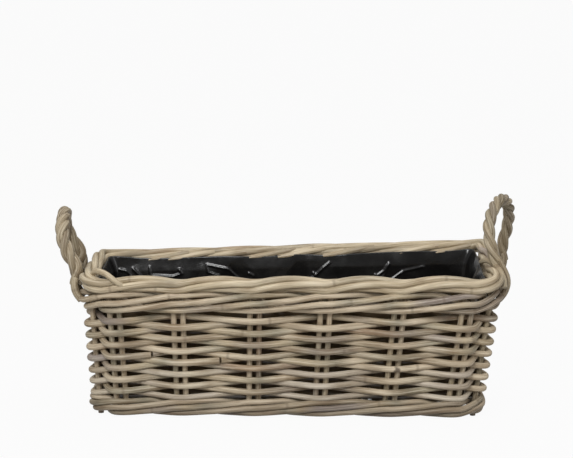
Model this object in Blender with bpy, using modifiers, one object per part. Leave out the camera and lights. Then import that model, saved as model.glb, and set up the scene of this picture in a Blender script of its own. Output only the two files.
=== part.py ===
"""Rectangular cane planter basket with a dark film liner and a twisted cane handle at each end.

The front faces -Y, the length lies along X, Z is up, and the origin is on the floor below the
middle of the basket. All sizes are in metres.
"""
import math

import bmesh
import bpy
from mathutils import Vector

# Wall, measured to the centre line of the stakes
base_half_length = 0.2241
rim_half_length = 0.2384
base_half_width = 0.0711
rim_half_width = 0.0866
post_setback = 0.0170
outer_pair_inset = 0.0278
pair_spacing = 0.0110
front_pair_shares = (-1.0, -0.638, -0.203, 0.197, 0.617, 1.0)
end_pair_shares = (-0.43, 0.43)

# Set of the finished basket, which leans to the right and stands higher at its right end
rim_shift = 0.0044
base_shift_share = 0.25
front_right_lift = 0.0030
back_right_lift = 0.0170

# Canes and the gaps between them
stake_radius = 0.0034
weaver_radius = 0.0035
row_gap = 0.0002
seat_gap = 0.0003
row_count = 14
foot_height = 0.0036
foot_run = 0.0030

# Wales: canes that climb past three stake groups outside and drop behind the fourth
wale_cane_count = 4
bottom_wale_radius = 0.0032
bottom_wale_step = 0.0075
top_wale_radius = 0.0036
top_wale_step = 0.0092
top_wale_gap = 0.0050
wale_belly = 0.0045
wale_bulge = 0.0055

# Rolled border: canes twisted round each other along the rim
border_cane_radius = 0.0037
border_twist_radius = 0.0059
border_overhang = 0.0034
border_corner_radius = 0.0165
border_cane_count = 4
border_turns = 4
border_step = 0.030

# Handles: canes twisted round an arch over each end
handle_cane_radius = 0.0029
handle_twist_radius = 0.0043
handle_cane_count = 3
handle_turns = 5
handle_steps = 40
handle_half_span = 0.0500
handle_nest = 0.0008
left_handle_rise = 0.0575
left_handle_lean = 0.0220
left_handle_skew_share = 0.12
right_handle_rise = 0.0660
right_handle_lean = -0.0025
right_handle_skew_share = 0.42
right_handle_front_reach = 0.0050
right_handle_front_lift = 0.0014

# Base: a rail ring, sticks across it and one cane woven to and fro
rail_radius = 0.0040
rail_corner_radius = 0.0160
stick_radius = 0.0035
stick_count = 5
base_weaver_radius = 0.0030
base_lane_count = 7
base_edge_gap = 0.0060
base_turn_reach = 0.0110
base_turn_rise_share = 0.6
base_turn_start_share = 0.17

# Liner: thin film tub hung inside the wall
film_thickness = 0.0012
film_gap = 0.0013
film_corner_radius = 0.0090
film_flare_height = 0.0070

# Shape of the pieces' facets
arc_step = math.radians(60)
corner_steps = 3

# Colours, roughness and metallic value of the finishes
cane_colour = (0.44, 0.36, 0.25)
cane_tint_share = 0.14
tint_turn = 2.4
film_colour = (0.012, 0.012, 0.014)
cane_roughness = 0.62
film_roughness = 0.22

# Heights worked out from the foot upwards
bottom_wale_level = foot_height + bottom_wale_step + bottom_wale_radius
bottom_wale_top = bottom_wale_level + bottom_wale_step + bottom_wale_radius
row_pitch = 2 * weaver_radius + row_gap
first_row_level = bottom_wale_top + row_gap + weaver_radius
last_row_level = first_row_level + (row_count - 1) * row_pitch
top_wale_level = last_row_level + weaver_radius + top_wale_gap + top_wale_radius + top_wale_step
top_wale_top = top_wale_level + top_wale_step + top_wale_radius
border_radius = border_twist_radius + border_cane_radius
border_level = top_wale_top + seat_gap + border_radius
handle_radius = handle_twist_radius + handle_cane_radius

# Slopes of the steeper end wall and of the long walls, which widen a level cane's way round a stake
wall_slope = (rim_half_length - base_half_length + rim_shift) / border_level
side_slope = (rim_half_width - base_half_width) / border_level
lean_share = math.sqrt(1 + wall_slope ** 2 + side_slope ** 2)

basket = bpy.data.collections.new("planter_basket")


def clear_scene():
    """Remove whatever the scene holds."""
    for item in list(bpy.data.objects):
        bpy.data.objects.remove(item, do_unlink=True)


def finish(name, colour, roughness):
    """Material of one piece."""
    material = bpy.data.materials.new(name)
    material.use_nodes = True
    shader = material.node_tree.nodes["Principled BSDF"]
    shader.inputs["Base Color"].default_value = (*colour, 1.0)
    shader.inputs["Roughness"].default_value = roughness
    shader.inputs["Metallic"].default_value = 0.0
    return material


def cane_finish(name, number):
    """Cane material whose tint varies from piece to piece."""
    tint = 1 + cane_tint_share * math.sin(number * tint_turn)
    colour = tuple(channel * tint for channel in cane_colour)
    return finish(name + "_cane", colour, cane_roughness)


def settled(x, y, z):
    """Where a point of the true basket lies once the basket has taken its set."""
    height_share = min(1.0, max(0.0, z - foot_run) / (border_level - foot_run))
    right_share = (1 + x / rim_half_length) / 2
    back_share = (1 + y / rim_half_width) / 2
    lift = front_right_lift + (back_right_lift - front_right_lift) * back_share
    return x + rim_shift * (height_share - base_shift_share), y, z + lift * right_share * height_share


def cane(name, points, radius, number, closed=False):
    """A round cane along a list of points, in the basket's collection."""
    curve = bpy.data.curves.new(name, "CURVE")
    curve.dimensions = "3D"
    curve.twist_mode = "Z_UP" if closed else "MINIMUM"
    curve.bevel_depth = radius
    curve.bevel_resolution = 1
    curve.use_fill_caps = True
    spline = curve.splines.new("POLY")
    spline.points.add(len(points) - 1)
    for slot, point in zip(spline.points, points):
        slot.co = (*settled(*point), 1.0)
    spline.use_cyclic_u = closed
    spline.use_smooth = True
    piece = bpy.data.objects.new(name, curve)
    curve.materials.append(cane_finish(name, number))
    basket.objects.link(piece)
    return piece


def half_length(level):
    """Half the length of the stakes' rectangle at a height."""
    return base_half_length + (rim_half_length - base_half_length) * level / border_level


def half_width(level):
    """Half the width of the stakes' rectangle at a height."""
    return base_half_width + (rim_half_width - base_half_width) * level / border_level


def front_pairs(level):
    """Centres of the front stake pairs at a height, from left to right."""
    reach = half_length(level) - outer_pair_inset
    width = half_width(level)
    half = pair_spacing / 2
    return [[(share * reach - half, -width), (share * reach + half, -width)] for share in front_pair_shares]


def end_pairs(level):
    """Centres of the right end's stake pairs at a height, from front to back."""
    length = half_length(level)
    reach = half_width(level) - post_setback
    half = pair_spacing / 2
    return [[(length, share * reach - half), (length, share * reach + half)] for share in end_pair_shares]


def turned(groups):
    """The same groups on the opposite wall."""
    return [[(-x, -y) for x, y in group] for group in groups]


def corner_posts(level):
    """Centres of the corner posts: front left, front right, back right, back left."""
    length = half_length(level)
    width = half_width(level) - post_setback
    return [(-length, -width), (length, -width), (length, width), (-length, width)]


def stake_groups(level):
    """Every group of stakes at a height, counterclockwise from the front left corner."""
    posts = corner_posts(level)
    groups = [[posts[0]]] + front_pairs(level)
    groups += [[posts[1]]] + end_pairs(level)
    groups += [[posts[2]]] + turned(front_pairs(level))
    groups += [[posts[3]]] + turned(end_pairs(level))
    return groups


def heading(start, end, start_reach, end_reach):
    """Direction of a cane drawn tight from one stake to the next.

    A reach is the distance from a stake's centre to the cane's, below zero where the cane is inside.
    """
    across = end[0] - start[0]
    along = end[1] - start[1]
    distance = math.hypot(across, along)
    return math.atan2(along, across) - math.asin((end_reach - start_reach) / distance)


def wrap_radius(cane_radius):
    """Distance from a stake's centre to the centre of a level cane that passes it."""
    return (stake_radius + cane_radius + seat_gap) * lean_share


def weave(level, reaches):
    """Points of a cane drawn tight round the stakes, as places in plan with their group's number."""
    stakes = []
    for number, group in enumerate(stake_groups(level)):
        stakes += [(place, reaches[number], number) for place in group]
    points = []
    for index, (place, reach, number) in enumerate(stakes):
        before = stakes[index - 1]
        after = stakes[(index + 1) % len(stakes)]
        entry = heading(before[0], place, before[1], reach)
        leave = heading(place, after[0], reach, after[1])
        turn = (leave - entry + math.pi) % (2 * math.pi) - math.pi
        steps = max(1, math.ceil(abs(turn) / arc_step))
        corner_reach = reach / math.cos(turn / (2 * steps))
        for step in range(steps):
            angle = entry + turn * (step + 0.5) / steps
            x = place[0] + corner_reach * math.sin(angle)
            y = place[1] - corner_reach * math.cos(angle)
            points.append((x, y, number))
    return points


def make_row(number):
    """One row of the wall's weave, a closed ring, outside every other stake group."""
    level = first_row_level + number * row_pitch
    groups = len(stake_groups(level))
    radius = wrap_radius(weaver_radius)
    reaches = [radius if (group + number) % 2 == 0 else -radius for group in range(groups)]
    points = [(x, y, level) for x, y, _ in weave(level, reaches)]
    cane(f"weaver_row_{number + 1:02d}", points, weaver_radius, number, closed=True)


def spread(x, y, level, height):
    """A place found at a level, moved out or in with the walls to a height above that level."""
    length_share = half_length(level + height) / half_length(level)
    width_share = half_width(level + height) / half_width(level)
    return x * length_share, y * width_share, level + height


def wale_crossing(groups, number, state, radius, step):
    """Point of a wale cane halfway to the next stake group, with its height above the wale's middle."""
    start = groups[number][-1]
    end = groups[(number + 1) % len(groups)][0]
    x = (start[0] + end[0]) / 2
    y = (start[1] + end[1]) / 2
    if state == 0:
        return x, y, -step
    if state == wale_cane_count - 1:
        return x, y, step
    angle = math.atan2(end[1] - start[1], end[0] - start[0])
    reach = radius + wale_bulge
    height = step * (state + 0.5 - wale_cane_count / 2)
    return x + reach * math.sin(angle), y - reach * math.cos(angle), height


def wale_points(level, radius, step, phase):
    """Points of one wale cane: behind one stake group, then climbing outside the next three."""
    groups = stake_groups(level)
    states = [(number + phase) % wale_cane_count for number in range(len(groups))]
    state_reaches = (-radius, radius, radius + wale_belly, radius)
    places = weave(level, [state_reaches[state] for state in states])
    points = []
    for number, state in enumerate(states):
        passed = [(x, y) for x, y, group in places if group == number]
        before = wale_crossing(groups, number - 1, states[number - 1], radius, step)
        after = wale_crossing(groups, number, state, radius, step)
        for x, y in passed:
            height = step * (state - wale_cane_count / 2)
            if state == 0:
                gone = math.hypot(x - before[0], y - before[1])
                left = math.hypot(x - after[0], y - after[1])
                height = step * (left - gone) / (left + gone)
            points.append(spread(x, y, level, height))
        points.append(spread(*after[:2], level, after[2]))
    return points


def make_wale(name, level, cane_radius, step):
    """The canes of one wale, each a closed ring."""
    radius = wrap_radius(cane_radius) + seat_gap
    for phase in range(wale_cane_count):
        points = wale_points(level, radius, step, phase)
        cane(f"{name}_{phase + 1}", points, cane_radius, phase + row_count, closed=True)


def stake_top():
    """Height where the middle of a stake's slanting cut end lies, under the border."""
    return top_wale_top - stake_radius * wall_slope


def make_stake_pair(name, number, side, index):
    """One cane folded double: two legs joined by a bend below the bottom wale."""
    def legs(level):
        groups = {"front": front_pairs, "right": end_pairs}
        if side in groups:
            return groups[side](level)[index]
        return turned(groups["front" if side == "back" else "right"](level))[index]

    top_left, top_right = legs(stake_top())
    points = [(*top_left, stake_top())]
    bend_steps = 4
    for step in range(bend_steps + 1):
        angle = math.pi * step / bend_steps
        level = foot_height + stake_radius + (1 - math.sin(angle)) * pair_spacing / 2
        left, right = legs(level)
        share = (1 - math.cos(angle)) / 2
        x = left[0] + (right[0] - left[0]) * share
        y = left[1] + (right[1] - left[1]) * share
        points.append((x, y, level))
    points.append((*top_right, stake_top()))
    cane(name, points, stake_radius, number)


def make_corner_post(name, index):
    """A corner post whose square-cut lower end is a foot."""
    foot = corner_posts(foot_run)[index]
    top = corner_posts(stake_top())[index]
    points = [(*foot, 0), (*foot, foot_run), (*top, stake_top())]
    cane(name, points, stake_radius, index)


def rounded_rectangle(length, width, radius, step):
    """Stations along a rounded rectangle: place, outward direction and distance run."""
    sides = [
        (Vector((0, -1, 0)), Vector((1, 0, 0)), length, width),
        (Vector((1, 0, 0)), Vector((0, 1, 0)), width, length),
        (Vector((0, 1, 0)), Vector((-1, 0, 0)), length, width),
        (Vector((-1, 0, 0)), Vector((0, -1, 0)), width, length),
    ]
    stations = []
    run = 0.0
    for outward, forward, half_side, reach in sides:
        straight = 2 * (half_side - radius)
        steps = max(1, round(straight / step))
        for index in range(steps):
            share = index / steps
            place = outward * reach + forward * (straight * (share - 0.5))
            stations.append((place, outward, run + straight * share))
        run += straight
        centre = outward * (reach - radius) + forward * (half_side - radius)
        for index in range(corner_steps):
            angle = math.pi / 2 * index / corner_steps
            direction = outward * math.cos(angle) + forward * math.sin(angle)
            stations.append((centre + direction * radius, direction, run + radius * angle))
        run += radius * math.pi / 2
    return stations, run


def make_border_cane(number):
    """One cane of the border, which turns round the rim's centre line."""
    length = half_length(border_level) + border_overhang
    width = half_width(border_level) + border_overhang
    stations, run = rounded_rectangle(length, width, border_corner_radius, border_step)
    points = []
    for place, outward, distance in stations:
        angle = 2 * math.pi * (border_turns * distance / run + number / border_cane_count)
        offset = outward * math.cos(angle) + Vector((0, 0, math.sin(angle)))
        points.append(tuple(place + offset * border_twist_radius + Vector((0, 0, border_level))))
    cane(f"border_cane_{number + 1}", points, border_cane_radius, number, closed=True)


def left_feet():
    """Feet of the left handle, both beside the border: reach outward from the rim's line, and height."""
    reach = border_radius + handle_radius - handle_nest
    return (reach, border_level - border_radius), (reach, border_level - border_radius)


def right_feet():
    """Feet of the right handle: the front one stands on the border, the back one hangs beside it."""
    top = border_level + border_radius + right_handle_front_lift
    return (right_handle_front_reach, top), left_feet()[1]


def handle_line(share, feet, rise, lean, skew_share):
    """Centre line of a handle, as on the right end, from its front foot over the arch to its back foot."""
    (front_reach, front_level), (back_reach, back_level) = feet
    spring = border_level + border_radius + right_handle_front_lift
    front_leg = spring - front_level
    back_leg = spring - back_level
    arch = math.pi * (rise + handle_half_span) / 2
    run = share * (front_leg + arch + back_leg)
    if run < front_leg:
        y, z = -handle_half_span, front_level + run
    elif run > front_leg + arch:
        y, z = handle_half_span, spring + front_leg + arch - run
    else:
        angle = math.pi * (run - front_leg) / arch
        y = -handle_half_span * math.cos(angle)
        z = spring + rise * math.sin(angle)
    up_share = max(0.0, (z - spring) / rise)
    back_share = (1 + y / handle_half_span) / 2
    reach = front_reach + (back_reach - front_reach) * back_share
    x = half_length(border_level) + border_overhang + reach
    return Vector((x + lean * up_share + skew_share * y * math.sin(math.pi / 2 * up_share), y, z))


def make_handle_cane(name, side, number, feet, rise, lean, skew_share):
    """One of the canes twisted along a handle; side is 1 for the right end, -1 for the left."""
    points = []
    for step in range(handle_steps + 1):
        share = step / handle_steps
        ahead = handle_line(share + 0.5 / handle_steps, feet, rise, lean, skew_share)
        behind = handle_line(share - 0.5 / handle_steps, feet, rise, lean, skew_share)
        forward = (ahead - behind).normalized()
        across = Vector((1, 0, 0)).cross(forward).normalized()
        outward = forward.cross(across)
        angle = 2 * math.pi * (handle_turns * share + number / handle_cane_count)
        offset = outward * math.cos(angle) + across * math.sin(angle)
        place = handle_line(share, feet, rise, lean, skew_share) + offset * handle_twist_radius
        points.append((side * place.x, place.y, place.z))
    cane(name, points, handle_cane_radius, number)


def rail_sizes():
    """Half length and half width of the base rail's centre line."""
    inset = wrap_radius(bottom_wale_radius) + bottom_wale_radius + 2 * seat_gap + rail_radius
    return half_length(base_level()) - inset, half_width(base_level()) - inset


def base_level():
    """Height of the base sticks' centre line, with the weave just clear of the floor."""
    return foot_height + base_weave_reach() - base_weaver_radius


def base_weave_reach():
    """Distance from a stick's centre line to the far side of the cane that passes it."""
    return stick_radius + seat_gap + 2 * base_weaver_radius


def stick_places():
    """Places of the base sticks along X, leaving room for the weave's turns at the ends."""
    room = base_turn_reach + base_weaver_radius + rail_radius + 2 * seat_gap
    reach = rail_sizes()[0] - room
    return [reach * (2 * index / (stick_count - 1) - 1) for index in range(stick_count)]


def make_rail():
    """The ring that the base is built on."""
    length, width = rail_sizes()
    stations, _ = rounded_rectangle(length, width, rail_corner_radius, length)
    points = [(place.x, place.y, base_level()) for place, _, _ in stations]
    cane("base_rail", points, rail_radius, 0, closed=True)


def make_stick(index):
    """One stick across the base, between the rail's long sides."""
    reach = rail_sizes()[1] - rail_radius - seat_gap
    x = stick_places()[index]
    points = [(x, -reach, base_level()), (x, reach, base_level())]
    cane(f"base_stick_{index + 1}", points, stick_radius, index)


def make_base_weaver():
    """The single cane that fills the base, over and under the sticks, to and fro."""
    places = stick_places()
    spacing = places[1] - places[0]
    wrap = stick_radius + base_weaver_radius + seat_gap
    swing = wrap / math.cos(math.atan(2 * wrap / spacing))
    lane_reach = rail_sizes()[1] - rail_radius - base_edge_gap - base_weaver_radius
    lane_pitch = 2 * lane_reach / (base_lane_count - 1)
    points = []
    for lane in range(base_lane_count):
        y = lane_pitch * lane - lane_reach
        direction = 1 if lane % 2 == 0 else -1
        for index, x in enumerate(places[::direction]):
            stick = index if direction == 1 else stick_count - 1 - index
            side = 1 if (stick + lane) % 2 == 0 else -1
            points.append((x, y, base_level() + side * swing))
        if lane < base_lane_count - 1:
            turn_x = places[::direction][-1] + direction * base_turn_reach
            rise = side * swing * base_turn_rise_share
            start = base_turn_start_share * lane_pitch
            points.append((turn_x, y + start, base_level() + rise))
            points.append((turn_x, y + lane_pitch - start, base_level() - rise))
    cane("base_weaver", points, base_weaver_radius, 1)


def film_ring(mesh, level, inset):
    """Corners of the film's outline at a height, a distance inside the stakes."""
    length = half_length(level) - inset
    width = half_width(level) - inset
    stations, _ = rounded_rectangle(length, width, film_corner_radius, 2 * length)
    return [mesh.verts.new(settled(place.x, place.y, level)) for place, _, _ in stations]


def make_liner():
    """The film tub: it stands on the base and flares under the border."""
    wall_inset = wrap_radius(top_wale_radius) + top_wale_radius + film_gap
    rim_inset = border_radius - border_overhang + seat_gap
    floor = base_level() + base_weave_reach() + seat_gap
    fold = top_wale_top + seat_gap
    mesh = bmesh.new()
    rings = [
        film_ring(mesh, floor, wall_inset),
        film_ring(mesh, fold, wall_inset),
        film_ring(mesh, fold + film_flare_height, rim_inset),
    ]
    mesh.faces.new(reversed(rings[0]))
    for lower, upper in zip(rings, rings[1:]):
        for index in range(len(lower)):
            after = (index + 1) % len(lower)
            mesh.faces.new((lower[index], lower[after], upper[after], upper[index]))
    data = bpy.data.meshes.new("film_liner")
    mesh.to_mesh(data)
    mesh.free()
    piece = bpy.data.objects.new("film_liner", data)
    shell = piece.modifiers.new("film", "SOLIDIFY")
    shell.thickness = film_thickness
    shell.offset = -1.0
    shell.use_even_offset = True
    data.materials.append(finish("black_film", film_colour, film_roughness))
    basket.objects.link(piece)


def make_stakes():
    """All the doubled stakes and the corner posts."""
    number = 0
    for side, count in (("front", len(front_pair_shares)), ("right", len(end_pair_shares)),
                        ("back", len(front_pair_shares)), ("left", len(end_pair_shares))):
        for index in range(count):
            make_stake_pair(f"stake_pair_{side}_{index + 1}", number, side, index)
            number += 1
    for index, name in enumerate(("front_left", "front_right", "back_right", "back_left")):
        make_corner_post(f"corner_post_{name}", index)


def make_handles():
    """Both handles."""
    for number in range(handle_cane_count):
        make_handle_cane(f"handle_left_cane_{number + 1}", -1, number, left_feet(),
                         left_handle_rise, left_handle_lean, left_handle_skew_share)
        make_handle_cane(f"handle_right_cane_{number + 1}", 1, number, right_feet(),
                         right_handle_rise, right_handle_lean, right_handle_skew_share)


def make_basket():
    """Build every piece of the basket."""
    clear_scene()
    bpy.context.scene.collection.children.link(basket)
    make_rail()
    for index in range(stick_count):
        make_stick(index)
    make_base_weaver()
    make_stakes()
    make_wale("bottom_wale", bottom_wale_level, bottom_wale_radius, bottom_wale_step)
    make_wale("top_wale", top_wale_level, top_wale_radius, top_wale_step)
    for number in range(row_count):
        make_row(number)
    for number in range(border_cane_count):
        make_border_cane(number)
    make_handles()
    make_liner()


make_basket()
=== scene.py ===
"""Looks of a long woven cane planter basket with a rolled border, two twisted handles and a film liner.

The front faces -Y, the length lies along X, Z is up, and the origin is on the floor below the
middle of the basket. All sizes are in metres unless a name says otherwise.
"""
import logging
import math
import random
from dataclasses import dataclass, field
from enum import Enum
from functools import partial
from typing import Callable

import bmesh
import bpy
from mathutils import Euler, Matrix, Quaternion, Vector, noise


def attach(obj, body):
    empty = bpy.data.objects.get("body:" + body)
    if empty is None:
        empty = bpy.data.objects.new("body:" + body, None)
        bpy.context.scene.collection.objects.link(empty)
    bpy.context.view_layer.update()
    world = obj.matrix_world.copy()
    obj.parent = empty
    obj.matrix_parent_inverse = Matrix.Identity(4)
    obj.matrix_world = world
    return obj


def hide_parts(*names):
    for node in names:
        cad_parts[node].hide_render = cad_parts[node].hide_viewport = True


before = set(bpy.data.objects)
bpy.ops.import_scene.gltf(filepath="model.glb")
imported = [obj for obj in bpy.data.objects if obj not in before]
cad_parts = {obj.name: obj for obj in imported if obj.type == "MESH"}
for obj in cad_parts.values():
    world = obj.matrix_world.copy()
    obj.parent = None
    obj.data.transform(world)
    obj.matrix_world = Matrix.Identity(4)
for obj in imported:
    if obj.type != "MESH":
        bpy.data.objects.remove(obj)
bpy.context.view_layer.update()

logging.basicConfig(level=logging.INFO, format="%(message)s")
log = logging.getLogger("planter_basket")

Place = tuple[float, float]
Point = tuple[float, float, float]
NodeAdder = Callable[..., bpy.types.Node]


def linear(hex_colour: str) -> tuple[float, float, float, float]:
    """Turn an sRGB colour, written as #RRGGBB, into the linear colour that shaders use."""
    channels = [int(hex_colour[start:start + 2], 16) / 255 for start in (1, 3, 5)]
    curve = [c / 12.92 if c <= 0.04045 else ((c + 0.055) / 1.055) ** 2.4 for c in channels]
    return (curve[0], curve[1], curve[2], 1.0)


def add_node(tree: bpy.types.NodeTree, kind: str, links: dict | None = None, **settings) -> bpy.types.Node:
    """Add a node with its settings, and feed its inputs.

    Args:
        tree: Tree that gets the node.
        kind: Blender's name for the node's type.
        links: What feeds each input, by name or number: an output, a node for its first output, or a value.
        settings: Values of the node's own attributes.
    Returns:
        The new node.
    """
    node = tree.nodes.new(kind)
    for key, value in settings.items():
        setattr(node, key, value)
    for key, value in (links or {}).items():
        if isinstance(value, bpy.types.Node):
            value = value.outputs[0]
        if isinstance(value, bpy.types.NodeSocket):
            tree.links.new(value, node.inputs[key])
        else:
            node.inputs[key].default_value = value
    return node


def new_material(name: str) -> tuple[bpy.types.Material, NodeAdder]:
    """Make a material with an empty node tree, and what adds nodes to it."""
    material = bpy.data.materials.new(name)
    material.use_nodes = True
    material.node_tree.nodes.clear()
    return material, partial(add_node, material.node_tree)


def new_object(name: str, data: bpy.types.ID) -> bpy.types.Object:
    """Put a new object in the scene."""
    made = bpy.data.objects.new(name, data)
    bpy.context.scene.collection.objects.link(made)
    return made


def coated(node: NodeAdder, under: bpy.types.NodeSocket, driver: bpy.types.NodeSocket, start: float, full: float,
        share: float, colour: str, **looks: str) -> bpy.types.NodeSocket:
    """Lay a second colour over a first where a pattern calls for it.

    Args:
        node: Adds a node to the material.
        under: The first colour.
        driver: The pattern.
        start: The pattern's value where the second colour begins.
        full: The pattern's value where the second colour is as strong as it gets.
        share: How strong that is.
        colour: The second colour.
        looks: How the share rises (rise) and how the colours blend (blend), where not plainly.
    Returns:
        The colour that results.
    """
    amount = node("ShaderNodeMapRange", {0: driver, 1: start, 2: full, 3: 0.0, 4: share},
        interpolation_type=looks.get("rise", "LINEAR"))
    over = node("ShaderNodeMix", {0: amount, 6: under, 7: linear(colour)}, data_type="RGBA",
        blend_type=looks.get("blend", "MIX"))
    return over.outputs[2]


def knuckle_distance(node: NodeAdder, along: bpy.types.NodeSocket, spacing: float) -> bpy.types.NodeSocket:
    """Distance along a cane to its nearest knuckle, the ring where a leaf once grew.

    Args:
        node: Adds a node to the tree of a material or of a geometry.
        along: Distance run along the cane.
        spacing: Mean distance between two knuckles.
    Returns:
        The distance, in metres.
    """
    share = node("ShaderNodeMath", {0: along, 1: spacing}, operation="DIVIDE")
    whole = node("ShaderNodeMath", {0: share}, operation="FLOOR")
    chance = node("ShaderNodeTexWhiteNoise", {"W": whole}, noise_dimensions="1D")
    shifted = node("ShaderNodeMath", {0: chance.outputs["Value"], 1: 0.6, 2: 0.2}, operation="MULTIPLY_ADD")
    place = node("ShaderNodeMath", {0: whole, 1: shifted}, operation="ADD")
    apart = node("ShaderNodeMath", {0: share, 1: place}, operation="SUBTRACT")
    size = node("ShaderNodeMath", {0: apart}, operation="ABSOLUTE")
    metres = node("ShaderNodeMath", {0: size, 1: spacing}, operation="MULTIPLY")
    return metres.outputs[0]


class Use(Enum):
    """What a cane does in the basket: the name of its finish and the record's material slot."""

    ROW = ("rows", "weaver_cane")
    PALE_ROW = ("pale_rows", "weaver_cane")
    WALE = ("wales", "wale_cane")
    BORDER = ("border", "border_cane")
    HANDLE = ("handles", "handle_cane")
    STAKE = ("stakes", "stake_cane")
    BASE = ("base", "base_cane")

    @property
    def slot(self) -> str:
        """The record's material slot."""
        return self.value[1]


@dataclass(frozen=True)
class CaneFinish:
    """Natural rattan, peeled, weathered and left raw: matt skin with a faint waxy gleam."""

    shadow_tone: str
    tones: tuple[str, ...]
    length_spacing: float = 0.26
    knuckle_spacing: float = 0.30
    ring_share: float = 0.40
    fibre_width: float = 0.0011
    fibre_run: float = 0.040
    roughness: float = 0.56
    ior: float = 1.54
    knot: Point = (0.1290, -0.0860, 0.0632)
    knot_radius: float = 0.0048
    # Height below which the cane colour darkens towards the floor
    foot_dark_height: float = 0.030

    def build(self, name: str) -> bpy.types.Material:
        """Build the material under a name."""
        material, node = new_material(name)
        grain = node("ShaderNodeAttribute", attribute_name="grain")
        parts = node("ShaderNodeSeparateXYZ", {0: grain.outputs["Vector"]})
        along = parts.outputs["X"]

        # Each length of cane dried to a tone of its own, between straw, olive and grey
        piece = node("ShaderNodeMath", {0: along, 1: self.length_spacing}, operation="DIVIDE")
        chance = node("ShaderNodeTexNoise", {"W": piece, "Scale": 1.0, "Detail": 1.0}, noise_dimensions="1D")
        spread = node("ShaderNodeMapRange", {0: chance, 1: 0.22, 2: 0.78, 3: 0.0, 4: 1.0})
        tones = node("ShaderNodeValToRGB", {0: spread})
        ramp = tones.color_ramp
        while len(ramp.elements) < len(self.tones):
            ramp.elements.new(0.5)
        for index, (element, tone) in enumerate(zip(ramp.elements, self.tones)):
            element.position = index / (len(self.tones) - 1)
            element.color = linear(tone)

        # Slow patches of weathering along the cane
        slow = node("ShaderNodeVectorMath", {0: grain.outputs["Vector"], 1: (1 / 0.045, 1 / 0.012, 1 / 0.012)},
            operation="MULTIPLY")
        patches = node("ShaderNodeTexNoise", {"Vector": slow, "Scale": 1.0, "Detail": 3.0})
        weathered = coated(node, tones.outputs["Color"], patches.outputs["Fac"], 0.42, 0.72, 0.80, "#A8977F",
            blend="MULTIPLY")

        # Fibres that run the length of the cane
        fine = node("ShaderNodeVectorMath", {0: grain.outputs["Vector"],
            1: (1 / self.fibre_run, 1 / self.fibre_width, 1 / self.fibre_width)}, operation="MULTIPLY")
        fibres = node("ShaderNodeTexNoise", {"Vector": fine, "Scale": 1.0, "Detail": 4.0, "Roughness": 0.62})
        streaked = coated(node, weathered, fibres.outputs["Fac"], 0.48, 0.70, 0.68, self.shadow_tone)
        lit = coated(node, streaked, fibres.outputs["Fac"], 0.52, 0.32, 0.62, "#DBD0B8")

        # Faint knuckle rings
        apart = knuckle_distance(node, along, self.knuckle_spacing)
        ringed = coated(node, lit, apart, 0.0030, 0.0002, self.ring_share, "#6A5846", rise="SMOOTHSTEP")

        # One dark knot in the front of the wall
        where = node("ShaderNodeTexCoord")
        ragged = node("ShaderNodeTexNoise", {"Vector": where.outputs["Object"], "Scale": 1 / 0.003,
            "Detail": 2.0})
        away = node("ShaderNodeVectorMath", {0: where.outputs["Object"], 1: self.knot}, operation="DISTANCE")
        edge = node("ShaderNodeMath", {0: ragged, 1: 0.004, 2: away.outputs["Value"]}, operation="MULTIPLY_ADD")
        knotted = coated(node, ringed, edge.outputs[0], self.knot_radius + 0.0025, self.knot_radius, 0.85,
            "#4A3B2B", rise="SMOOTHSTEP")

        # The colour is darker towards the floor at the foot of the wall
        height = node("ShaderNodeSeparateXYZ", {0: where.outputs["Object"]})
        darkened_foot = coated(node, knotted, height.outputs["Z"], self.foot_dark_height, 0.0, 1.0, "#A39C94",
            blend="MULTIPLY")

        rough = node("ShaderNodeMapRange", {0: fibres, 1: 0.3, 2: 0.7, 3: self.roughness - 0.08,
            4: self.roughness + 0.12})
        bump = node("ShaderNodeBump", {"Strength": 0.80, "Distance": 0.0006, "Height": fibres})
        shader = node("ShaderNodeBsdfPrincipled", {"Base Color": darkened_foot, "Roughness": rough, "IOR": self.ior,
            "Normal": bump})
        node("ShaderNodeOutputMaterial", {"Surface": shader})
        return material


@dataclass(frozen=True)
class FilmFinish:
    """Black polythene film, blown thin and crumpled: near black, with bright lines on each crease."""

    colour: str = "#0D0C0C"
    # Colour of the painted reflection of the canes on the film's outer face
    weave_reflection_colour: str = "#75654F"
    roughness: float = 0.16
    ior: float = 1.51
    crumple_spacing: float = 0.016
    facet_size: float = 0.045

    def build(self, name: str) -> bpy.types.Material:
        """Build the material under a name."""
        material, node = new_material(name)
        where = node("ShaderNodeTexCoord")
        crumple = node("ShaderNodeTexNoise", {"Vector": where.outputs["Object"],
            "Scale": 1 / self.crumple_spacing, "Detail": 3.0})
        facets = node("ShaderNodeTexVoronoi", {"Vector": where.outputs["Object"], "Scale": 1 / self.facet_size,
            "Smoothness": 0.15}, feature="SMOOTH_F1")
        broad = node("ShaderNodeBump", {"Strength": 0.5, "Distance": 0.006, "Height": facets.outputs["Distance"]})
        bump = node("ShaderNodeBump", {"Strength": 0.35, "Distance": 0.0010, "Height": crumple, "Normal": broad})
        rough = node("ShaderNodeMapRange", {0: crumple, 1: 0.3, 2: 0.7, 3: self.roughness - 0.04,
            4: self.roughness + 0.10})
        colour = node("ShaderNodeMix", {0: crumple, 6: linear(self.colour), 7: linear("#181716")},
            data_type="RGBA")

        # The face against the weave is painted brown: a painted reflection of the canes, seen through the gaps in
        # the weave
        facing = node("ShaderNodeNewGeometry")
        level = node("ShaderNodeVectorMath", {0: where.outputs["Object"], 1: (0.3, 1.0, 0.0)},
            operation="MULTIPLY")
        outward = node("ShaderNodeVectorMath", {0: facing.outputs["Normal"], 1: level}, operation="DOT_PRODUCT")
        painted_weave_reflection = coated(node, colour.outputs[2], outward.outputs["Value"], 0.02, 0.05, 1.0, self.weave_reflection_colour)
        shader = node("ShaderNodeBsdfPrincipled", {"Base Color": painted_weave_reflection, "Roughness": rough, "IOR": self.ior,
            "Normal": bump})
        node("ShaderNodeOutputMaterial", {"Surface": shader})
        return material


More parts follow.
